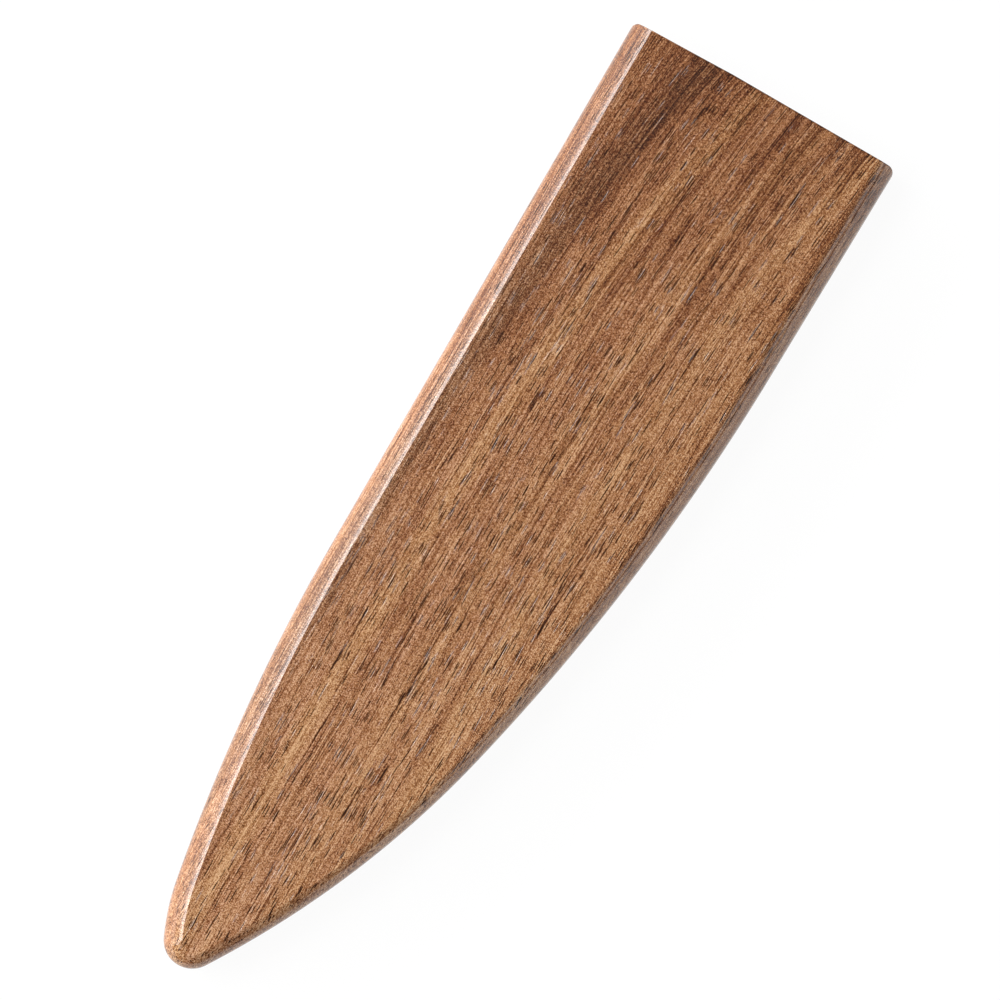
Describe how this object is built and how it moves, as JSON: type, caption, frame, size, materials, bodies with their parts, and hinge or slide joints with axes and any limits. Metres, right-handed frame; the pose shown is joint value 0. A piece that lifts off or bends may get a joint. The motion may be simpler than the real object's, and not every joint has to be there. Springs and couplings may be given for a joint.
{
  "type": "knife blade guard",
  "caption": "Wooden blade guard for a chef's knife, with rounded edges, a curved tip and a felt-lined pocket held shut by glue and open at the mouth.",
  "frame": {"origin": "middle of the outline's bounding box, on the rear face that the guard lies on", "axes": "+X from the open mouth to the tip, +Y from the straight spine edge to the curved belly edge, +Z from the rear face to the front face"},
  "size_m": [0.216, 0.062, 0.014],
  "materials": {
    "front_walnut": "satin lacquered walnut",
    "rear_walnut": "satin lacquered walnut",
    "felt": "dense wool felt",
    "nickel": "nickel plated magnet",
    "beech": "bare beech dowel"
  },
  "bodies": {
    "root": {"front_shell": "front_walnut", "rear_shell": "rear_walnut", "front_lining": "felt", "rear_lining": "felt", "front_magnet_1": "nickel", "front_magnet_2": "nickel", "front_magnet_3": "nickel", "front_magnet_4": "nickel", "rear_magnet_1": "nickel", "rear_magnet_2": "nickel", "rear_magnet_3": "nickel", "rear_magnet_4": "nickel", "spine_dowel_1": "beech", "spine_dowel_2": "beech", "belly_dowel_1": "beech", "belly_dowel_2": "beech"}
  },
  "joints": []
}
